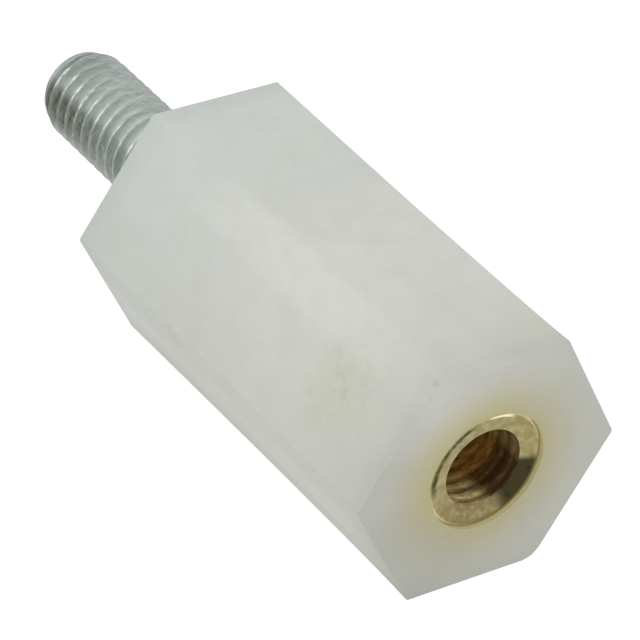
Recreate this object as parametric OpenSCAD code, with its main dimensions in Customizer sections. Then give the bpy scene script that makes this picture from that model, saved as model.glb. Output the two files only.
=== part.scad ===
// Male-female hex standoff: a nylon hexagon moulded round a brass tapped insert and a steel stud.
// It lies on one flat with its axis along Y. The socket opens towards -Y and the stud points to +Y.
// The origin is under the middle of the whole length, on the surface that the flat rests on.

/* [Hexagon] */
// Width across the flats, the spanner size
across_flats = 13; // [10:0.5:20]
// Length of the nylon body between its two end faces
body_length = 25; // [24:1:60]
// Radius that rounds the six long edges
edge_radius = 0.2; // [0.1:0.1:1]

/* [Thread] */
// Outer diameter of the thread on both ends
thread_diameter = 5; // [4:0.5:6]
// Pitch of the thread
thread_pitch = 0.8; // [0.5:0.05:1]

/* [Stud] */
// Length that stands out of the body
stud_length = 12.5; // [6:0.5:30]
// Length of the chamfer on the tip
tip_chamfer = 1; // [0.4:0.1:1.5]
// Length of the anchor that holds the stud in the body
stud_grip = 8.5; // [7:0.5:10]

/* [Socket insert] */
// Length of the insert, which is an anchor all the way
insert_length = 11; // [9:0.5:12]
// Distance from the body's end face down to the insert's mouth
insert_recess = 0.2; // [0.1:0.05:0.5]
// Flat rim left round the countersink
rim_width = 0.25; // [0.1:0.05:0.4]
// Full angle of the countersink at the mouth
countersink_angle = 150; // [90:5:150]

/* [Anchoring] */
// Wall of an anchor's collar outside the thread
collar_wall = 0.75; // [0.7:0.05:1.2]
// Length of the plain collar, which closes the mould on the metal
collar_length = 1.8; // [1:0.1:2.5]
// Number of ridges round each knurled band
knurl_ridges = 24; // [12:2:36]
// Height of the ridges
knurl_height = 0.25; // [0.15:0.05:0.3]
// Depth of the waist between the bands, below the tops of the ridges
waist_depth = 0.35; // [0.35:0.05:0.5]

/* [Hidden] */
$fn = 96;

// How far a cut runs past the face that it opens, and two joined shapes into each other
past_face = 1;
overlap = 0.1;

collar_diameter = thread_diameter + 2 * collar_wall;
// The bands are rolled on a slightly thinner bar, so that they don't break the collar's edge
band_step = 0.1;
band_diameter = collar_diameter - 2 * band_step;

// A tapping drill leaves a hole one pitch narrower than the thread. Metal is left past its point.
drill_diameter = thread_diameter - thread_pitch;
drill_point_angle = 118;
drill_point = drill_diameter / 2 / tan(drill_point_angle / 2);
insert_floor = 0.6;
drill_depth = insert_length - insert_floor - drill_point;

// Width that the countersink has at the mouth, and the depth at which it has narrowed to the drill's
countersink_diameter = collar_diameter - 2 * rim_width;
countersink_depth = (countersink_diameter - drill_diameter) / 2 / tan(countersink_angle / 2);

// Section of the thread: a flat on each crest, flanks at 60 degrees to each other, and a flat at the root.
// A sharp section would be as high as an equilateral triangle on the pitch; 17/24 of that is left.
crest_flat = thread_pitch / 8;
thread_depth = 17 / 24 * thread_pitch * cos(30);
flank_run = thread_depth * tan(30);
thread_rings = floor((stud_length - tip_chamfer) / thread_pitch);

// The tip is turned down to where the thread's groove runs out
tip_diameter = drill_diameter;

axis_height = across_flats / 2;
socket_face = -(body_length + stud_length) / 2;
stud_face = socket_face + body_length;

// Sets a shape that is drawn round the Z axis on the standoff's axis: z=0 goes to y, and Z runs along +Y
module on_axis(y)
    translate([0, y, axis_height])
        rotate([-90, 0, 0])
            children();

// The same for a shape that runs along -Y
module on_axis_reversed(y)
    on_axis(y)
        mirror([0, 0, 1])
            children();

// Hexagon with flats at top and bottom and rounded corners: straight sides between six corner circles
module rounded_hexagon() {
    corner_distance = (across_flats / 2 - edge_radius) / cos(30);
    corners = [for (i = [0:5]) corner_distance * [cos(60 * i), sin(60 * i)]];
    polygon([for (i = [0:5]) for (side = [-30, 30])
        corners[i] + edge_radius * [cos(60 * i + side), sin(60 * i + side)]]);
    for (corner = corners)
        translate(corner) circle(edge_radius);
}

// Round bar with straight ridges along it. Each ridge has a narrow top and a wider foot, given as
// [radius, share of the ridge's step].
module knurled_band(length) {
    crest = band_diameter / 2;
    root = crest - knurl_height;
    step = 360 / knurl_ridges;
    ridge = [[crest, -0.15], [crest, 0.15], [root, 0.4], [root, 0.6]];
    linear_extrude(length)
        polygon([for (i = [0:knurl_ridges - 1]) for (point = ridge)
            point[0] * [cos((i + point[1]) * step), sin((i + point[1]) * step)]]);
}

// Outside of the metal in the nylon, from the collar's face at z=0 inwards. The collar is followed by two
// knurled bands, which keep it from turning, and the waist between them, which keeps it from pulling out.
module anchor(length) {
    waist_length = (length - collar_length) / 4;
    band_length = (length - collar_length - waist_length) / 2;
    waist_start = collar_length + band_length;
    cylinder(h = collar_length, d = collar_diameter);
    translate([0, 0, collar_length]) knurled_band(band_length);
    translate([0, 0, waist_start - overlap])
        cylinder(h = waist_length + 2 * overlap, d = band_diameter - 2 * waist_depth);
    translate([0, 0, waist_start + waist_length]) knurled_band(band_length);
}

// Room that the nylon leaves for an anchor: its form, and the opening down to its collar
module anchor_cavity(length, recess) {
    translate([0, 0, recess]) anchor(length);
    translate([0, 0, -past_face])
        cylinder(h = past_face + recess + collar_length / 2, d = collar_diameter);
}

// Hole as it is before tapping: countersunk mouth at z=0, drilled bore, pointed end
module drilled_hole() {
    rotate_extrude()
        polygon([
            [0, -past_face],
            [countersink_diameter / 2, -past_face],
            [countersink_diameter / 2, 0],
            [drill_diameter / 2, countersink_depth],
            [drill_diameter / 2, drill_depth],
            [0, drill_depth + drill_point]
        ]);
}

// Threaded bar outside the body, from the collar's face at z=0 to the chamfered tip. The thread's section is
// turned as rings, one to each pitch, which leaves its crests true to the outer diameter.
module thread_bar() {
    crest = thread_diameter / 2;
    root = crest - thread_depth;
    groove = [
        [crest, crest_flat / 2],
        [root, crest_flat / 2 + flank_run],
        [root, thread_pitch - crest_flat / 2 - flank_run],
        [crest, thread_pitch - crest_flat / 2]
    ];
    rotate_extrude()
        polygon([
            [0, 0],
            [crest, 0],
            for (i = [0:thread_rings - 1]) for (point = groove) point + [0, i * thread_pitch],
            [crest, stud_length - tip_chamfer],
            [tip_diameter / 2, stud_length],
            [0, stud_length]
        ]);
}

// Nylon body, moulded round both anchors, which leave their form in it
module hex_body() {
    color([0.86, 0.87, 0.83])
        difference() {
            on_axis(socket_face) linear_extrude(body_length) rounded_hexagon();
            on_axis(socket_face) anchor_cavity(insert_length, insert_recess);
            on_axis_reversed(stud_face) anchor_cavity(stud_grip, 0);
        }
}

// Brass insert with the tapped hole
module socket_insert() {
    color([0.72, 0.6, 0.3])
        on_axis(socket_face + insert_recess)
            difference() {
                anchor(insert_length);
                drilled_hole();
            }
}

// Zinc-plated steel stud, turned from one bar with its anchor, whose collar is flush with the end face
module stud() {
    color([0.62, 0.65, 0.64]) {
        on_axis_reversed(stud_face) anchor(stud_grip);
        on_axis(stud_face) thread_bar();
    }
}

hex_body();
socket_insert();
stud();
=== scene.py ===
import math

import bmesh
import bpy
import numpy as np
from mathutils import Matrix, Vector


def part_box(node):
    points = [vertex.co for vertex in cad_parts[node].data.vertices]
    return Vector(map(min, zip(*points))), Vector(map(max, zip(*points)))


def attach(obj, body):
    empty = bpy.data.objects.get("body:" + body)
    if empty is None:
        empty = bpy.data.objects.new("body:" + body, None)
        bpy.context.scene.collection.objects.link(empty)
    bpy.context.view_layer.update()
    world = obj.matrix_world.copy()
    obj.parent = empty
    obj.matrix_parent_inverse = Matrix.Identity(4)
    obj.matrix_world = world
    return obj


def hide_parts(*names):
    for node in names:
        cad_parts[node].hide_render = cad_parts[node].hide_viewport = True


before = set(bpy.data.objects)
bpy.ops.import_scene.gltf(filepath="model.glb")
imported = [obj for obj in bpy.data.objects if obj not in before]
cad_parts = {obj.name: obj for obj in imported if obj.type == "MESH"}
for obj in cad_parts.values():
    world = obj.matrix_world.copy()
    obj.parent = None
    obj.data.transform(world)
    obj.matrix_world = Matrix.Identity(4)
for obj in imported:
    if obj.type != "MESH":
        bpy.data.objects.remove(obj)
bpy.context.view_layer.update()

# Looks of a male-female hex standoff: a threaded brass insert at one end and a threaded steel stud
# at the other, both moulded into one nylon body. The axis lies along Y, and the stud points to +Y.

MM = 0.001

# --------------------------------------------------------------------------------------------------
# Brass socket insert. Turned from brass rod, knurled in two bands with a waist between them,
# drilled, countersunk and tapped. It goes into the mould first, and the nylon grips its bands.
# --------------------------------------------------------------------------------------------------
insert_low, insert_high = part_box("socket_insert")
AXIS_HEIGHT = (insert_low.z + insert_high.z) / 2
INSERT_FACE = insert_low.y
INSERT_LENGTH = insert_high.y - insert_low.y

COLLAR_RADIUS = (insert_high.x - insert_low.x) / 2
COLLAR_LENGTH = 1.8 * MM
BAND_STEP = 0.1 * MM
WAIST_DEPTH = 0.35 * MM
BAND_RADIUS = COLLAR_RADIUS - BAND_STEP
WAIST_RADIUS = BAND_RADIUS - WAIST_DEPTH
KNURL_HEIGHT = 0.25 * MM
RIDGES = 24
RIDGE_STEP = 2 * math.pi / RIDGES
# A ridge's top and foot, as shares of the step from the middle of the ridge
RIDGE_TOP, RIDGE_FOOT = 0.15, 0.4
RIM_CHAMFER = 0.01 * MM

# Directions round the axis for every turned surface: the corners of each ridge, and points between
slope_middle = (RIDGE_TOP + RIDGE_FOOT) / 2
ridge_shares = np.array([-RIDGE_TOP, 0, RIDGE_TOP, slope_middle, RIDGE_FOOT, 0.5, 1 - RIDGE_FOOT,
                         1 - slope_middle])
turned = ((np.arange(RIDGES)[:, None] + ridge_shares) * RIDGE_STEP).ravel()
turned = np.append(turned, turned[0] + 2 * math.pi)

THREAD_PITCH = 0.8 * MM
BORE_RADIUS = 2.15 * MM
GROOVE_RADIUS = 2.4 * MM
TAP_FLAT, TAP_FLANK = 0.2, 0.4
TAPPED_DEPTH = 8.7 * MM
TAP_LEAD = 1.6 * MM
TAP_ENTRY = 0.45 * MM
COUNTERSINK_RADIUS = 3.0 * MM
COUNTERSINK_ANGLE = math.radians(158)
COUNTERSINK_DEPTH = (COUNTERSINK_RADIUS - BORE_RADIUS) / math.tan(COUNTERSINK_ANGLE / 2)
DRILLED_DEPTH = 9.14 * MM
DRILL_ANGLE = math.radians(118)
DRILL_POINT = BORE_RADIUS / math.tan(DRILL_ANGLE / 2)
# Old oil lies thickest on one side of the grooves: where, how far up them, and how far it spreads
OIL_TURN = math.radians(330)
OIL_FILL, OIL_SPREAD = 0.75, 0.2


def rings(places, radii, turns):
    """Points of a surface round the axis: the ring at each place along Y has its radius, which is
    one number or one for each turn. Turn 0 points to +X and a quarter turn to +Z."""
    places, radii, turns = np.broadcast_arrays(np.reshape(places, (len(places), -1)), radii, turns)
    return np.stack([radii * np.cos(turns), places, AXIS_HEIGHT + radii * np.sin(turns)], axis=-1)


def knurl_radius(turns):
    """Radius of a knurled band: the band's own over the top of a ridge, its height less at the foot
    between two ridges, and a straight slope between top and foot."""
    share = np.abs((turns / RIDGE_STEP + 0.5) % 1 - 0.5)
    slope = np.clip((share - RIDGE_TOP) / (RIDGE_FOOT - RIDGE_TOP), 0, 1)
    return BAND_RADIUS - KNURL_HEIGHT * slope


def anchor_profile(length, turns, spare=0.0):
    """Depths and radii of the rings down an anchor's outside, from the collar to the middle of the
    closed end. A step is two rings at one depth. spare is room added outside it."""
    waist_length = (length - COLLAR_LENGTH) / 4
    band_length = (length - COLLAR_LENGTH - waist_length) / 2
    waist_start = COLLAR_LENGTH + band_length
    waist_end = waist_start + waist_length
    knurl, plain = knurl_radius(turns), np.ones_like(turns)
    steps = [(COLLAR_LENGTH, COLLAR_RADIUS * plain), (COLLAR_LENGTH, knurl),
             (waist_start, knurl), (waist_start, WAIST_RADIUS * plain),
             (waist_end, WAIST_RADIUS * plain), (waist_end, knurl), (length, knurl)]
    depths = np.array([depth for depth, _ in steps] + [length])
    radii = np.array([radius for _, radius in steps] + [0 * plain])
    depths += spare * np.array([1, 1, 1, 1, -1, -1, 1, 1])
    return depths, np.where(radii > 0, radii + spare, 0)


def groove_depth(shares, flat, flank):
    """How deep a thread is cut at each share of its pitch from the middle of a crest, from 0 to 1:
    nothing over half the crest's flat, then the groove's floor past the flank. Between them part of
    the way is straight, and the rest eases in and out as three times the square less twice the
    cube, which rounds the edges."""
    share = np.abs((shares + 0.5) % 1 - 0.5)
    way = np.clip((share - flat / 2) / flank, 0, 1)
    straight = 0.4
    return straight * way + (1 - straight) * (3 - 2 * way) * way ** 2


def crest_share(places, first_crest):
    """Share of a pitch from the middle of a crest, for places along Y in each direction of turned.
    On a right-hand thread it grows by one for each pitch along Y and for each full turn."""
    return (places - first_crest) / THREAD_PITCH + turned / (2 * math.pi)


# Rows to one pitch, as shares of it from the middle of the crest, closer together round the crest
ROW_SHARES = np.array([-0.5, -0.44, -0.38, -0.32, -0.26, -0.2, -0.14, -0.09, -0.045,
                       0, 0.045, 0.09, 0.14, 0.2, 0.26, 0.32, 0.38, 0.44])


def thread_rows(start, end, first_crest, surface):
    """Grid of a thread from start to end along Y. Each row lies on a helix: its place falls by one
    pitch for each full turn, so that crests and grooves follow whole rows. surface(place, share)
    gives the radius. Rows past either end are held at that end, where they fall together."""
    pitches = np.arange(math.floor((start - first_crest) / THREAD_PITCH) - 1,
                        math.ceil((end - first_crest) / THREAD_PITCH) + 3)
    lines = (pitches[:, None] + ROW_SHARES).ravel()[:, None]
    places = np.clip(first_crest + THREAD_PITCH * (lines - turned / (2 * math.pi)), start, end)
    return rings(places, surface(places, crest_share(places, first_crest)), turned)


INSERT_CREST = INSERT_FACE + THREAD_PITCH


def bore_radius(places, shares):
    """The bore's radius plus the thread's cut. The cut opens over a short way below the
    countersink, and grows less over the tap's lead, until the plain drilled hole is left. Old oil
    has gathered in the grooves on the side of OIL_TURN and fills most of their depth, less with the
    cosine of the angle from there."""
    depths = places - INSERT_FACE
    entry = np.clip((depths - COUNTERSINK_DEPTH) / TAP_ENTRY, 0, 1)
    lead = np.clip((TAPPED_DEPTH - depths) / TAP_LEAD, 0, 1)
    filled = OIL_FILL * np.clip(OIL_SPREAD + np.cos(turned - OIL_TURN), 0, 1)
    cut = (GROOVE_RADIUS - BORE_RADIUS) * groove_depth(shares, TAP_FLAT, TAP_FLANK)
    return BORE_RADIUS + cut * (entry * lead) * (1 - filled)


# Points closer than this are one, and an edge that turns further than this is drawn sharp
WELD = 1e-4 * MM
SHARP_ANGLE = math.radians(32)


def new_piece(name, sheets, node, material):
    """One closed mesh made of point grids that share their borders, standing for a CAD node. Each
    square of a grid is a face. Points that fall together become one, and faces turn outwards."""
    points, faces, first = [], [], 0
    for sheet in sheets:
        index = first + np.arange(sheet[..., 0].size).reshape(sheet.shape[:2])
        corners = index[:-1, :-1], index[:-1, 1:], index[1:, 1:], index[1:, :-1]
        faces.append(np.stack(corners, axis=-1).reshape(-1, 4))
        points.append(sheet.reshape(-1, 3))
        first += index.size
    mesh = bpy.data.meshes.new(name)
    mesh.from_pydata(np.concatenate(points), [], np.concatenate(faces))
    shell = bmesh.new()
    shell.from_mesh(mesh)
    bmesh.ops.remove_doubles(shell, verts=shell.verts, dist=WELD)
    bmesh.ops.recalc_face_normals(shell, faces=shell.faces)
    shell.to_mesh(mesh)
    shell.free()
    mesh.shade_smooth()
    mesh.set_sharp_from_angle(angle=SHARP_ANGLE)
    mesh.materials.append(material)
    piece = bpy.data.objects.new(name, mesh)
    bpy.context.scene.collection.objects.link(piece)
    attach(piece, "root")
    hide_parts(node)


def shade(red, green, blue):
    """A screen colour out of 255 as the linear colour that a shader takes."""
    return [((value / 255 + 0.055) / 1.055) ** 2.4 for value in (red, green, blue)] + [1]


class Finish:
    """The node tree of a new material or world. put adds a node: it sets or links the inputs given
    by name or number, sets the node's own settings, and returns its outputs."""

    def __init__(self, owner):
        owner.use_nodes = True
        self.owner, self.tree = owner, owner.node_tree
        self.tree.nodes.clear()
        self.place = self.put("TexCoord")["Object"]

    def put(self, kind, inputs=None, **settings):
        node = self.tree.nodes.new("ShaderNode" + kind)
        for key, value in settings.items():
            setattr(node, key, value)
        for key, value in (inputs or {}).items():
            if isinstance(value, bpy.types.NodeSocket):
                self.tree.links.new(value, node.inputs[key])
            else:
                node.inputs[key].default_value = value
        return node.outputs

    def sum(self, operation, *values):
        """One calculation on numbers or outputs."""
        return self.put("Math", dict(enumerate(values)), operation=operation)[0]

    def product(self, *values):
        """All the values multiplied together."""
        result = values[0]
        for value in values[1:]:
            result = self.sum("MULTIPLY", result, value)
        return result

    def blend(self, factor, first, second):
        """The first colour turned into the second by factor."""
        return self.put("Mix", {0: factor, 6: first, 7: second}, data_type="RGBA")[2]

    def paint(self, factor, tint):
        """The finish's colour so far is turned into tint by factor."""
        self.colour = self.blend(factor, self.colour, tint)

    def rise(self, value, low, high, start=0.0, end=1.0, change="SMOOTHSTEP"):
        """start where value is low, end where it is high, and a smooth or LINEAR change between."""
        inputs = {"Value": value, "From Min": low, "From Max": high, "To Min": start, "To Max": end}
        return self.put("MapRange", inputs, interpolation_type=change)[0]

    def noise(self, size, detail=2.0, rough=0.5, stretch=(1, 1, 1), shift=(0, 0, 0), twist=0.0):
        """Cloudy noise from 0 to 1, with lumps about size across, longer where stretch is less."""
        place = self.put("Mapping", {"Vector": self.place, "Location": shift, "Scale": stretch})[0]
        inputs = {"Vector": place, "Scale": 1 / size, "Detail": detail, "Roughness": rough,
                  "Distortion": twist}
        return self.put("TexNoise", inputs)["Fac"]

    def axis(self):
        """Distance from the axis and place along it. The offset from the axis is kept for side."""
        across, along, height = self.put("SeparateXYZ", {0: self.place})
        above = self.sum("SUBTRACT", height, AXIS_HEIGHT)
        self.offset = self.put("CombineXYZ", {0: across, 2: above})[0]
        return self.put("VectorMath", {0: self.offset}, operation="LENGTH")["Value"], along

    def side(self, turn, edge, full):
        """1 on the side of the axis in the direction turn, within the angle full of it, and 0 past
        the angle edge, measured by their cosines. The three angles are in degrees."""
        out = self.put("VectorMath", {0: self.offset}, operation="NORMALIZE")[0]
        way = [math.cos(math.radians(turn)), 0, math.sin(math.radians(turn))]
        near = self.put("VectorMath", {0: out, 1: way}, operation="DOT_PRODUCT")["Value"]
        return self.rise(near, math.cos(math.radians(edge)), math.cos(math.radians(full)))

    def away(self, place):
        """Distance from one place on the piece."""
        return self.put("VectorMath", {0: self.place, 1: place}, operation="DISTANCE")["Value"]

    def bump(self, height, distance, strength=1.0, under=None):
        """A normal bent by height, which stands for up to distance."""
        inputs = {"Height": height, "Distance": distance, "Strength": strength}
        if under:
            inputs["Normal"] = under
        return self.put("Bump", inputs)[0]

    def close(self, **inputs):
        """Ends the material in a Principled shader with these inputs."""
        named = {name.replace("_", " "): value for name, value in inputs.items()}
        shader = self.put("BsdfPrincipled", named)[0]
        self.put("OutputMaterial", {"Surface": shader})
        return self.owner


brass = Finish(bpy.data.materials.new("brass"))
radius, along = brass.axis()
depth = brass.sum("SUBTRACT", along, INSERT_FACE)
stain = brass.noise(0.45 * MM, 3, 0.6)
brass.colour = brass.blend(brass.rise(stain, 0.35, 0.65), shade(168, 157, 112), shade(146, 135, 88))
# It is browner on one side
browner_side = brass.product(brass.side(256, 48, 14), brass.rise(stain, 0.35, 0.6, 0.3, 0.95))
brass.paint(browner_side, shade(135, 117, 83))
# A painted dark reflection browns one side of the countersink and ends sharply there. The rim is
# painted lighter next to the nylon, painted light against the shade there, and carries a painted
# highlight for a short way. On one side a dark line lies on it, partly dirt and partly painted
# shadow of the nylon's step
countersink_dark_reflection = brass.product(brass.side(270, 92, 81), brass.side(346, 64, 36),
                      brass.rise(radius, 2.95 * MM, 3.22 * MM, 1, 0.3),
                      brass.rise(stain, 0.25, 0.6, 1, 0.9))
brass.paint(countersink_dark_reflection, shade(44, 40, 21))
painted_highlight = brass.product(brass.side(80, 17, 6), brass.rise(radius, 2.93 * MM, 3.0 * MM))
brass.paint(painted_highlight, shade(246, 238, 202))
brass.paint(brass.rise(radius, 3.05 * MM, 3.2 * MM, 0, 0.7), shade(222, 212, 160))
dirt_and_shadow = brass.product(brass.side(150, 46, 32), brass.rise(radius, 2.76 * MM, 2.83 * MM),
                     brass.rise(stain, 0.35, 0.55, 0.65, 1))
brass.paint(dirt_and_shadow, shade(68, 64, 2))
# Oil has darkened the bore, and is more orange deep down. Painted highlights lie on one side near
# the mouth and on its crests further down, and faintly on the crests on another side
in_bore = brass.rise(depth, COUNTERSINK_DEPTH, COUNTERSINK_DEPTH + 0.06 * MM)
on_crest = brass.rise(radius, BORE_RADIUS + 0.01 * MM, BORE_RADIUS + 0.1 * MM, 1, 0.3)
highlit_side = brass.product(brass.side(245, 52, 30),
                     brass.rise(brass.noise(0.4 * MM, 2, 0.6), 0.4, 0.6, 0.6, 1))
first_turn = brass.rise(depth, 0.4 * MM, 0.8 * MM, 0.9, 0)
crests = brass.product(on_crest, brass.rise(depth, 1.8 * MM, 2.8 * MM, 1, 0.25))
bore_highlight = brass.sum("MAXIMUM", brass.product(highlit_side, brass.sum("MAXIMUM", first_turn, crests)),
                  brass.product(brass.side(12, 24, 8), on_crest, 0.25))
film = brass.noise(0.24 * MM, 3, 0.6, stretch=(0.45, 1.1, 0.45))
deep = brass.rise(depth, 1.4 * MM, 2.6 * MM)
thin = brass.product(brass.rise(film, 0.55, 0.75), brass.rise(deep, 0, 1, 0.25, 0.9))
oil = brass.blend(deep, shade(106, 76, 46), shade(214, 168, 86))
oil = brass.blend(brass.rise(film, 0.4, 0.6, 0.5, 0), oil, shade(76, 52, 34))
oil = brass.blend(thin, oil, shade(226, 180, 100))
brass.paint(in_bore, brass.blend(bore_highlight, oil, shade(250, 230, 160)))
# Tool marks run round the axis: noise that reads only the distance from it and the place along it
TOOL_MARK = 0.05 * MM
section = brass.put("CombineXYZ", {0: radius, 1: along})[0]
tool_marks = brass.put("TexNoise", {"Vector": section, "Scale": 1 / TOOL_MARK,
                                    "Detail": 2.0})["Fac"]
grain = brass.noise(0.09 * MM, 2)
brass_normal = brass.bump(tool_marks, 0.01 * MM, 0.35, brass.bump(grain, 0.008 * MM, 0.25))
brass_normal = brass.bump(brass.product(film, in_bore), 0.1 * MM, 0.5, brass_normal)
brass_rough = brass.rise(stain, 0.3, 0.7, 0.26, 0.36)
brass_rough = brass.sum("ADD", brass_rough, brass.product(in_bore, 0.12))
brass_finish = brass.close(
    Base_Color=brass.colour, Roughness=brass_rough, Normal=brass_normal,
    Metallic=brass.rise(in_bore, 0, 1, 1, 0.45, "LINEAR"))

anchor_depths, anchor_radii = anchor_profile(INSERT_LENGTH, turned)
plain_ring = np.ones_like(turned)
rim_angles = np.linspace(0, math.pi / 2, 6)
rim_places = INSERT_FACE + np.append(0, RIM_CHAMFER * (1 - np.cos(rim_angles)))
rim_radii = np.append(COUNTERSINK_RADIUS, COLLAR_RADIUS - RIM_CHAMFER * (1 - np.sin(rim_angles)))
outside = rings(np.append(rim_places, INSERT_FACE + anchor_depths),
                np.concatenate([rim_radii[:, None] * plain_ring, anchor_radii]), turned)
cone_shares = np.linspace(0, 1, 8)[:, None]
cone = rings(INSERT_FACE + COUNTERSINK_DEPTH * cone_shares,
             COUNTERSINK_RADIUS + (BORE_RADIUS - COUNTERSINK_RADIUS) * cone_shares, turned)
tapped = thread_rows(INSERT_FACE + COUNTERSINK_DEPTH, INSERT_FACE + TAPPED_DEPTH, INSERT_CREST,
                     bore_radius)
drilled = rings(INSERT_FACE + np.array([TAPPED_DEPTH, DRILLED_DEPTH, DRILLED_DEPTH + DRILL_POINT]),
                [[BORE_RADIUS], [BORE_RADIUS], [0]], turned)
new_piece("socket_insert_brass", [outside, cone, tapped, drilled], "socket_insert",
          brass_finish)

# --------------------------------------------------------------------------------------------------
# Steel stud. A length of threaded bar with a chamfered tip and the same anchor at its foot as the
# insert, zinc-plated. The rolled thread is satin grey, with painted highlights on its crests and a
# painted dark reflection as a stripe.
# --------------------------------------------------------------------------------------------------
stud_low, stud_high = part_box("stud")
body_low, body_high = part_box("hex_body")
STUD_FACE = body_high.y
STUD_TIP = stud_high.y
STUD_GRIP = STUD_FACE - stud_low.y
THREAD_RADIUS = 2.5 * MM
ROOT_RADIUS = 2.01 * MM
THREAD_FLAT, THREAD_FLANK = 0.1, 0.37
TIP_RADIUS = 2.1 * MM
TIP_CHAMFER = 1.0 * MM
STUD_CREST = STUD_TIP - 0.75 * MM


def stud_radius(places, shares):
    """The bar's radius less the thread's cut, or the tip's chamfer where that is smaller. The
    chamfer grows evenly from its radius at the tip to the bar's at its length from there."""
    cut = (THREAD_RADIUS - ROOT_RADIUS) * groove_depth(shares, THREAD_FLAT, THREAD_FLANK)
    chamfer = TIP_RADIUS + (THREAD_RADIUS - TIP_RADIUS) * (STUD_TIP - places) / TIP_CHAMFER
    return np.minimum(THREAD_RADIUS - cut, chamfer)


zinc = Finish(bpy.data.materials.new("zinc_plated_steel"))
radius, along = zinc.axis()
patches = zinc.noise(0.5 * MM, 4, 0.65)
streaks = zinc.noise(0.16 * MM, 3, 0.6, stretch=(0.35, 1, 0.35))
zinc.colour = zinc.blend(zinc.rise(patches, 0.3, 0.7), shade(182, 190, 186), shade(194, 201, 197))
zinc.paint(zinc.rise(streaks, 0.5, 0.75, 0, 0.35), shade(150, 157, 153))
# Painted light brightens the grooves against their shade. Two sides carry painted dark reflections,
# and it is darker near the tip
in_groove = zinc.rise(radius, 2.1 * MM, 2.45 * MM, 1, 0)
zinc.paint(zinc.product(in_groove, 0.55), shade(232, 239, 235))
outer = zinc.rise(radius, 1.3 * MM, 1.95 * MM)
painted_dark_sides = zinc.sum("MAXIMUM", zinc.side(228, 50, 20), zinc.product(zinc.side(48, 44, 20), 0.5))
zinc.paint(zinc.product(painted_dark_sides, outer, 0.4), shade(152, 152, 148))
tip_darker = zinc.product(zinc.side(122, 66, 20), outer,
                        zinc.rise(along, STUD_TIP - 1.2 * MM, STUD_TIP - 0.7 * MM, 0, 0.4))
zinc.paint(tip_darker, shade(136, 142, 139))
# On top it is darker for some way back from the tip, and painted lighter near the body, painted
# light against the shade of the body there
near_tip = zinc.product(zinc.side(98, 40, 12), outer,
                        zinc.rise(along, STUD_TIP - 4 * MM, STUD_TIP - 1 * MM, 0, 0.3))
zinc.paint(near_tip, shade(136, 142, 139))
near_body = zinc.product(zinc.side(120, 32, 8),
                         zinc.rise(along, STUD_FACE + 2 * MM, STUD_FACE + 8 * MM, 0.4, 0))
zinc.paint(near_body, shade(230, 238, 228))
# A painted dark reflection runs as a stripe along one side and grows darker towards the tip. The
# crests are painted darker all round, painted shade that dims their highlights
stripe_dark_reflection = zinc.product(zinc.side(178, 37, 0), outer, zinc.rise(streaks, 0.3, 0.65, 1, 0.75),
                       zinc.rise(along, STUD_FACE + 5 * MM, STUD_TIP - 1.5 * MM, 0.42, 0.95))
zinc.paint(stripe_dark_reflection, shade(103, 106, 92))
lowered = zinc.product(zinc.rise(radius, 2.36 * MM, 2.47 * MM),
                    zinc.rise(streaks, 0.35, 0.6, 0.4, 0.15))
zinc.paint(lowered, shade(140, 147, 143))
# On one side the crests carry painted highlights, in short dashes, and only here and there
# elsewhere
painted_highlight = zinc.sum("MAXIMUM", zinc.side(136, 18, 8), zinc.rise(patches, 0.52, 0.64, 0, 0.3))
painted_highlight = zinc.product(painted_highlight, zinc.rise(radius, 2.44 * MM, 2.49 * MM),
                      zinc.rise(streaks, 0.42, 0.56, 1, 0.15))
zinc.paint(painted_highlight, shade(240, 245, 240))
zinc_normal = zinc.bump(zinc.noise(0.07 * MM, 3, 0.6), 0.015 * MM, 0.6,
                        zinc.bump(streaks, 0.1 * MM, 0.7))
zinc_rough = zinc.rise(patches, 0.3, 0.7, 0.4, 0.52)
zinc_finish = zinc.close(
    Base_Color=zinc.colour, Roughness=zinc_rough, Normal=zinc_normal, Metallic=1.0)

anchor_depths, anchor_radii = anchor_profile(STUD_GRIP, turned)
foot_radii = stud_radius(STUD_FACE, crest_share(STUD_FACE, STUD_CREST))
grip = rings(np.append([STUD_FACE, STUD_FACE], STUD_FACE - anchor_depths),
             np.concatenate([[foot_radii, COLLAR_RADIUS * plain_ring], anchor_radii]), turned)
threaded = thread_rows(STUD_FACE, STUD_TIP, STUD_CREST, stud_radius)
tip_ring = stud_radius(STUD_TIP, crest_share(STUD_TIP, STUD_CREST))
tip = rings([STUD_TIP] * 3, np.array([[1], [0.5], [0]]) * tip_ring, turned)
new_piece("stud_steel", [grip, threaded, tip], "stud", zinc_finish)

# --------------------------------------------------------------------------------------------------
# Nylon body. A hexagon of natural nylon, moulded round both metal pieces in one shot. It has shrunk
# a little between its ends, one corner is worn, and one flat carries the gate's mark.
# --------------------------------------------------------------------------------------------------
SOCKET_FACE = body_low.y
HALF_FLATS = (body_high.z - body_low.z) / 2
CORNER_RADIUS = 0.2 * MM
CORNER_STEP = math.radians(60)
# The break rounds the end faces' edges, and the wall's first ring stands a little past it
END_BREAK = 0.04 * MM
PAST_BREAK = 1.5 * END_BREAK
CLEARANCE = 0.004 * MM

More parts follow.
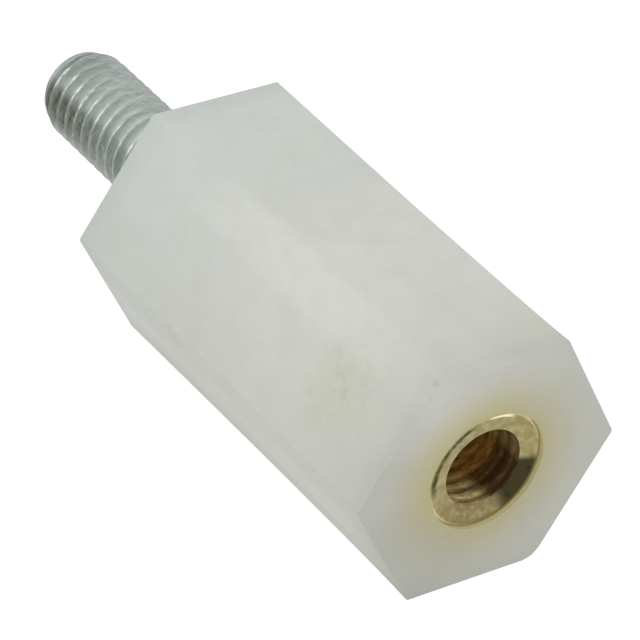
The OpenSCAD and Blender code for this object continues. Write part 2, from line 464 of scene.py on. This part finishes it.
# The flats have a point of their own right beside each rounded corner, which keeps the shading flat
EDGE_HOLD = math.radians(0.15)
corner_inset = HALF_FLATS - CORNER_RADIUS
corner_distance = corner_inset / math.cos(CORNER_STEP / 2)
corner_arc = CORNER_STEP / 2 - math.atan(corner_inset * math.tan(CORNER_STEP / 2) / HALF_FLATS)
corner_turns = corner_arc * np.sin(np.linspace(-math.pi / 2, math.pi / 2, 11))
flat_turns = np.linspace(corner_arc, CORNER_STEP - corner_arc, 29)[1:-1]
flat_turns = np.concatenate([[corner_arc + EDGE_HOLD], flat_turns,
                             [CORNER_STEP - corner_arc - EDGE_HOLD]])
hexagon = (np.arange(6)[:, None] * CORNER_STEP + np.concatenate([corner_turns, flat_turns])).ravel()
moulded = np.unique(np.round(np.concatenate([hexagon, turned[:-1]]) % (2 * math.pi), 6))
moulded = np.append(moulded, moulded[0] + 2 * math.pi)

# Shrinkage all round and on the flats, how soon it sets in, and how it fades towards the stud
SINK, FLAT_SINK = 0.09 * MM, 0.05 * MM
SINK_RUN = 2.3 * MM
SINK_FADE, FADE_POWER = 1.25, 2.2
# One corner is rubbed at the socket end: where it is, and how deep, wide and long the worn place is
WORN_TURN, WORN_DISTANCE = math.radians(300), 7 * MM
WORN_DEPTH, WORN_WIDTH, WORN_LENGTH = 0.16 * MM, 0.5 * MM, 0.6 * MM
# The gate, where the nylon ran into the mould, has left a shallow round dish in one flat
GATE_TURN = math.radians(150)
GATE_PLACE = -13.6 * MM
GATE_RADIUS = 1.6 * MM
GATE_DEPTH = 0.02 * MM


def hexagon_radius(turns):
    """Distance from the axis to the rounded hexagon. Over a flat it is half the width over flats,
    divided by the cosine of the angle from the flat's middle. Over a corner it is where the
    direction leaves the circle whose middle is on the line to that corner."""
    from_corner = (turns + CORNER_STEP / 2) % CORNER_STEP - CORNER_STEP / 2
    flat = HALF_FLATS / np.cos(CORNER_STEP / 2 - np.abs(from_corner))
    aside = corner_distance * np.sin(from_corner)
    past_middle = np.sqrt(np.clip(CORNER_RADIUS ** 2 - aside ** 2, 0, None))
    arc = corner_distance * np.cos(from_corner) + past_middle
    return np.where(np.abs(from_corner) < corner_arc, arc, flat)


def wall_radius(places, turns):
    """The hexagon's radius less the shrinkage, the worn corner and the gate's dish. The shrinkage
    is nothing at the ends, nears its full depth past the socket end as one less an exponential, and
    fades towards the stud end with a power of the way along. The flats sink further, by the square
    of one less the square of the way from their middle to a corner. The corner's wear falls evenly
    to nothing at its width and its length. The dish is one less the square of the distance from its
    middle."""
    from_end = places - SOCKET_FACE
    along = from_end / (STUD_FACE - SOCKET_FACE)
    faded = np.clip(SINK_FADE * (1 - along ** FADE_POWER), 0, 1)
    shrunk = (1 - np.exp(-from_end / SINK_RUN)) * faded
    from_flat = (turns % CORNER_STEP) / (CORNER_STEP / 2) - 1
    sunk = SINK * shrunk + FLAT_SINK * shrunk * (1 - from_flat ** 2) ** 2
    from_worn = WORN_DISTANCE * np.abs((turns - WORN_TURN + math.pi) % (2 * math.pi) - math.pi)
    lowered = np.clip(1 - from_worn / WORN_WIDTH, 0, 1) * np.clip(1 - from_end / WORN_LENGTH, 0, 1)
    gate_side = HALF_FLATS * np.tan(np.clip(turns % (2 * math.pi) - GATE_TURN, -1, 1))
    from_gate = np.hypot(places - GATE_PLACE, gate_side)
    dish = GATE_DEPTH * np.clip(1 - (from_gate / GATE_RADIUS) ** 2, 0, 1)
    return hexagon_radius(turns) - sunk - WORN_DEPTH * lowered - dish


def end_face(place, inner_radius, inward):
    """Rings over one end face, from the metal's edge to the outside, and over the small round
    between the face and the wall: its inset is the break times one less the sine, its depth the
    break times one less the cosine. One ring lies right beside the round, which keeps the face's
    shading flat."""
    outline = wall_radius(place, moulded)
    spread = np.append(np.linspace(0, 0.995, 12), 1)[:, None]
    radii = inner_radius + (outline - END_BREAK - inner_radius) * spread
    angles = np.linspace(0, math.pi / 2, 6)[1:, None]
    round_places = place + inward * END_BREAK * (1 - np.cos(angles))
    round_radii = wall_radius(round_places, moulded) - END_BREAK * (1 - np.sin(angles))
    places = np.concatenate([np.full(spread.shape, place), round_places])
    return places, np.concatenate([radii, round_radii])


def pocket(face, length, inward, lip):
    """Rings of the room that an anchor fills, from the closed end out to the nylon's end face,
    which stands out past the anchor's own by lip."""
    depths, radii = anchor_profile(length, moulded, CLEARANCE)
    depths = np.append([-lip], depths)
    radii = np.concatenate([radii[:1], radii])
    return (face + inward * depths)[::-1, None], radii[::-1]


def ramp(finish, value, start, stops):
    """Colours that change evenly from stop to stop as value grows from start: each stop is a
    distance in millimetres and the colour there."""
    last = stops[-1][0]
    share = finish.rise(value, start, start + last * MM, change="LINEAR")
    colour = finish.put("ValToRGB", {0: share})["Color"]
    elements = colour.node.color_ramp.elements
    for distance, _ in stops[1:-1]:
        elements.new(distance / last)
    for element, (_, tint) in zip(elements, stops):
        element.color = shade(*tint)
    return colour


nylon = Finish(bpy.data.materials.new("nylon"))
radius, along = nylon.axis()
cloud = nylon.noise(3 * MM, 3, 0.55)
yellowed = nylon.noise(4 * MM, 2, 0.5, shift=(0.02, 0.01, 0.03))
grain = nylon.noise(0.25 * MM, 4, 0.6)
# Milky all over and cooler towards the stud, painted lighter between the two metal pieces and
# darker
# at the ends: painted light and shade
milk_and_shade = [(0, (189, 190, 182)), (0.06, (184, 185, 176)), (0.3, (182, 183, 174)),
        (1.2, (190, 191, 183)), (2.75, (195, 196, 188)), (6.75, (201, 202, 195)),
        (10.75, (204, 205, 198)), (13.75, (202, 204, 197)), (16.75, (197, 201, 195)),
        (20.75, (197, 203, 197)), (23.5, (194, 200, 195)), (25, (186, 193, 189))]
nylon.colour = ramp(nylon, along, SOCKET_FACE, milk_and_shade)
nylon.paint(nylon.rise(cloud, 0.3, 0.7, 0, 0.25), shade(209, 208, 200))
nylon.paint(nylon.rise(yellowed, 0.5, 0.75, 0, 0.25), shade(198, 202, 182))
# Painted light and shade by side: lighter along one corner and beside it, darker round the corner
# below that, and lighter again lower down, where it is darker near the socket end
between = nylon.product(nylon.rise(along, STUD_FACE - 11 * MM, STUD_FACE - 3 * MM, 1, 0.35),
                        nylon.rise(along, SOCKET_FACE, SOCKET_FACE + 9 * MM, 0.35, 1))
past_socket = nylon.rise(along, SOCKET_FACE, SOCKET_FACE + 5 * MM)
nylon.paint(nylon.product(nylon.side(126, 14, 3), between, 0.3), shade(223, 224, 219))
beside = nylon.product(nylon.side(112, 26, 6),
                       nylon.rise(along, SOCKET_FACE + 7 * MM, SOCKET_FACE + 14 * MM, 0.1, 0))
nylon.paint(beside, shade(223, 224, 221))
nylon.paint(nylon.product(nylon.side(192, 44, 0), 0.28), shade(183, 184, 174))
nylon.paint(nylon.product(nylon.side(240, 48, 4), past_socket, 0.4), shade(226, 227, 221))
dim = nylon.product(nylon.side(225, 50, 15),
                    nylon.rise(along, SOCKET_FACE, SOCKET_FACE + 3 * MM, 0.3, 0))
nylon.paint(dim, shade(165, 167, 157))
# The socket's end face has much the same: painted light above the insert and painted shade below it
front = nylon.rise(along, SOCKET_FACE, SOCKET_FACE + PAST_BREAK, 1, 0)
front_light = nylon.product(front, nylon.side(106, 62, 10), 0.36)
nylon.paint(front_light, shade(214, 215, 210))
clear = nylon.product(front, nylon.side(268, 112, 60),
                      nylon.rise(radius, COLLAR_RADIUS, COLLAR_RADIUS + 3 * MM, 0.16, 0))
nylon.paint(clear, shade(166, 167, 157))
# The brass shows through as a glow that fades with the distance from it, yellowest on one side
nearness = nylon.rise(radius, COLLAR_RADIUS, COLLAR_RADIUS + 3.3 * MM, 1, 0, "LINEAR")
glow = nylon.sum("POWER", nearness, 1.5)
glow = nylon.product(glow, nylon.rise(along, SOCKET_FACE + 6 * MM, SOCKET_FACE + 10 * MM, 1, 0))
gold = nylon.blend(nylon.side(140, 85, 30), shade(184, 176, 138), shade(187, 178, 122))
nylon.paint(glow, gold)
# Round the metal on one side lies a dark ring, partly dirt and partly painted shadow of the step.
# The wall of the recess is painted lighter in the metal's colour, painted light against its shade
grime = nylon.noise(0.35 * MM, 3, 0.6)
dirt_and_shade_ring = nylon.product(front, nylon.side(146, 44, 26), nylon.rise(grime, 0.35, 0.55, 0.45, 0.95),
                     nylon.rise(radius, COLLAR_RADIUS + 0.05 * MM, COLLAR_RADIUS + 0.15 * MM, 1, 0))
nylon.paint(dirt_and_shade_ring, shade(84, 80, 36))
recess = nylon.product(
    nylon.rise(radius, COLLAR_RADIUS + 0.02 * MM, COLLAR_RADIUS + 0.06 * MM, 0.8, 0),
    nylon.rise(along, SOCKET_FACE, SOCKET_FACE + 0.03 * MM),
    nylon.rise(along, SOCKET_FACE + 0.5 * MM, SOCKET_FACE + 1 * MM, 1, 0))
nylon.paint(recess, shade(212, 205, 152))
# The fine edge of the socket's end face is painted darker than the skin beside it, painted shade
# that cancels a bright line of shading there
edge = nylon.product(nylon.rise(along, SOCKET_FACE, SOCKET_FACE + 0.006 * MM),
                     nylon.rise(along, SOCKET_FACE + END_BREAK, SOCKET_FACE + PAST_BREAK, 0.25, 0),
                     nylon.rise(radius, 5 * MM, 6 * MM))
nylon.paint(edge, shade(160, 161, 154))
# At the gate the nylon is yellower and uneven, with a darker spot beside the middle
gate = [HALF_FLATS * math.cos(GATE_TURN), GATE_PLACE,
        AXIS_HEIGHT + HALF_FLATS * math.sin(GATE_TURN)]
ragged = nylon.noise(0.9 * MM, 3, 0.6, twist=1.0)
from_gate = nylon.sum("ADD", nylon.away(gate), nylon.rise(ragged, 0.3, 0.7, -0.7 * MM, 0.7 * MM))
at_gate = nylon.rise(from_gate, 0.9 * MM, 2.6 * MM, 1, 0)
nylon.paint(nylon.product(at_gate, nylon.rise(ragged, 0.3, 0.6, 0.25, 0.6)), shade(193, 196, 172))
strokes = nylon.rise(nylon.noise(0.6 * MM, 3, 0.6, stretch=(0.6, 0.9, 1.4), twist=1.0), 0.5, 0.72)
nylon.paint(nylon.product(at_gate, strokes, 0.3), shade(170, 172, 158))
# Specks of dirt, and the darker spot at the gate: place and size in millimetres, and darkness
specks = [((-5.68, -14.0, 9.82), 0.42, 0.2), ((-3.82, -1.36, 12.89), 0.06, 0.6),
          ((0.1, -18.75, 12.6), 0.06, 0.6), ((-3.9, -18.6, 12.85), 0.22, 0.3),
          ((-5.5, -12.4, 10.1), 0.08, 0.3), ((-4.6, -15.2, 11.6), 0.1, 0.25),
          ((-4.9, -10.5, 11.1), 0.08, 0.3), ((3.1, -6.2, 13.0), 0.05, 0.5),
          ((5.1, -9.3, 3.6), 0.07, 0.5), ((5.9, 1.2, 8.6), 0.06, 0.5)]
for place, size, dark in specks:
    away = nylon.away([distance * MM for distance in place])
    nylon.paint(nylon.rise(away, 0.2 * size * MM, 1.4 * size * MM, dark, 0), shade(150, 149, 136))
# Short scuffs, all in about one direction, from lying loose with others, and faint blotches
scuffs = nylon.rise(nylon.noise(0.3 * MM, 2, 0.5, stretch=(0.5, 0.2, 1)), 0.64, 0.74)
nylon.paint(nylon.product(scuffs, 0.1), shade(226, 228, 222))
blotch = nylon.rise(nylon.noise(1.5 * MM, 4, 0.6), 0.4, 0.7, 0, 0.14)
nylon.paint(blotch, shade(172, 174, 165))
nylon_normal = nylon.bump(grain, 0.01 * MM, 0.3, nylon.bump(cloud, 0.2 * MM, 0.2))
nylon_normal = nylon.bump(nylon.product(at_gate, ragged), 0.12 * MM, 0.35, nylon_normal)
nylon_normal = nylon.bump(scuffs, 0.012 * MM, 0.4, nylon_normal)
nylon_rough = nylon.rise(grain, 0.3, 0.7, 0.52, 0.62)
nylon_finish = nylon.close(
    Base_Color=nylon.colour, Roughness=nylon_rough, Normal=nylon_normal, IOR=1.53,
    Specular_IOR_Level=0.3)

front_places, front_radii = end_face(SOCKET_FACE, COLLAR_RADIUS + CLEARANCE, 1)
back_places, back_radii = end_face(STUD_FACE, COLLAR_RADIUS + CLEARANCE, -1)
wall_places = np.linspace(SOCKET_FACE, STUD_FACE, 110)[:, None]
wall_places[0] += PAST_BREAK
wall_places[-1] -= PAST_BREAK
insert_places, insert_radii = pocket(INSERT_FACE, INSERT_LENGTH, 1, INSERT_FACE - SOCKET_FACE)
grip_places, grip_radii = pocket(STUD_FACE, STUD_GRIP, -1, 0)
shell_places = np.concatenate([insert_places, front_places, wall_places, back_places[::-1],
                               grip_places[::-1]])
shell_radii = np.concatenate([insert_radii, front_radii, wall_radius(wall_places, moulded),
                              back_radii[::-1], grip_radii[::-1]])
shell = rings(shell_places, shell_radii, moulded)
new_piece("hex_body_nylon", [shell], "hex_body", nylon_finish)

# --------------------------------------------------------------------------------------------------
# Studio. A wide white table in an evenly lit room, with soft lamps: a large one above, another low
# at the left, and a small one at the right that puts highlights on the metal.
# --------------------------------------------------------------------------------------------------
TABLE_SIZE = 3.0
# The table's shine is seen by the camera and in the metal, and doesn't light the object
GLARE, GLARE_SHARE = 1.08, 0.88
bpy.ops.mesh.primitive_plane_add(size=TABLE_SIZE)
table = bpy.context.object
table.name = "studio_table"
cover = Finish(bpy.data.materials.new("white_table"))
rays = cover.put("LightPath")
mirrored = cover.sum("MAXIMUM", rays["Is Glossy Ray"], rays["Is Transmission Ray"])
seen = cover.sum("MAXIMUM", rays["Is Camera Ray"], mirrored)
plain = cover.put("BsdfDiffuse", {"Color": shade(245, 245, 244)})[0]
glare = cover.put("Emission", {"Color": shade(255, 255, 255), "Strength": GLARE})[0]
surface = cover.put("MixShader", {0: cover.product(seen, GLARE_SHARE), 1: plain, 2: glare})[0]
cover.put("OutputMaterial", {"Surface": surface})
table.data.materials.append(cover.owner)

room = Finish(bpy.data.worlds.new("room"))
bpy.context.scene.world = room.owner
ROOM_LEVEL = 0.8
light = room.put("Background", {"Color": shade(255, 255, 255), "Strength": ROOM_LEVEL})[0]
room.put("OutputWorld", {"Surface": light})

MIDDLE = Vector((0, 0, AXIS_HEIGHT))


def lamp(name, place, size, watts):
    """A square soft lamp that faces the middle of the object."""
    place = Vector(place)
    light = bpy.data.lights.new(name, "AREA")
    light.shape, light.size, light.energy = "SQUARE", size, watts
    holder = bpy.data.objects.new(name, light)
    turn = (place - MIDDLE).to_track_quat("Z", "Y").to_matrix().to_4x4()
    holder.matrix_world = Matrix.Translation(place) @ turn
    bpy.context.scene.collection.objects.link(holder)


lamp("overhead", (0.0, 0.0, 0.45), 0.4, 0.42)
lamp("left", (-0.42, 0.03, 0.05), 0.3, 0.3)
lamp("highlight", (0.35, -0.22, 0.24), 0.08, 0.08)

# --------------------------------------------------------------------------------------------------
# Camera. A long lens from the socket end, above and to the left, and tipped a little to one side.
# --------------------------------------------------------------------------------------------------
CAMERA_PLACE = Vector((-0.10361, -0.13642, 0.12219))
CAMERA_AZIMUTH, CAMERA_ELEVATION, CAMERA_ROLL = np.radians([-38.15, 34.67, 7.40])
FOCAL_LENGTH, SENSOR_WIDTH = 231.14, 36

camera = bpy.data.objects.new("camera", bpy.data.cameras.new("camera"))
camera.data.lens = FOCAL_LENGTH
camera.data.sensor_width = SENSOR_WIDTH
camera.data.clip_start = 0.01
camera.matrix_world = (Matrix.Translation(CAMERA_PLACE) @ Matrix.Rotation(CAMERA_AZIMUTH, 4, "Z")
                       @ Matrix.Rotation(math.pi / 2 - CAMERA_ELEVATION, 4, "X")
                       @ Matrix.Rotation(CAMERA_ROLL, 4, "Z"))
bpy.context.scene.collection.objects.link(camera)
bpy.context.scene.camera = camera
bpy.context.scene.view_settings.view_transform = "Standard"
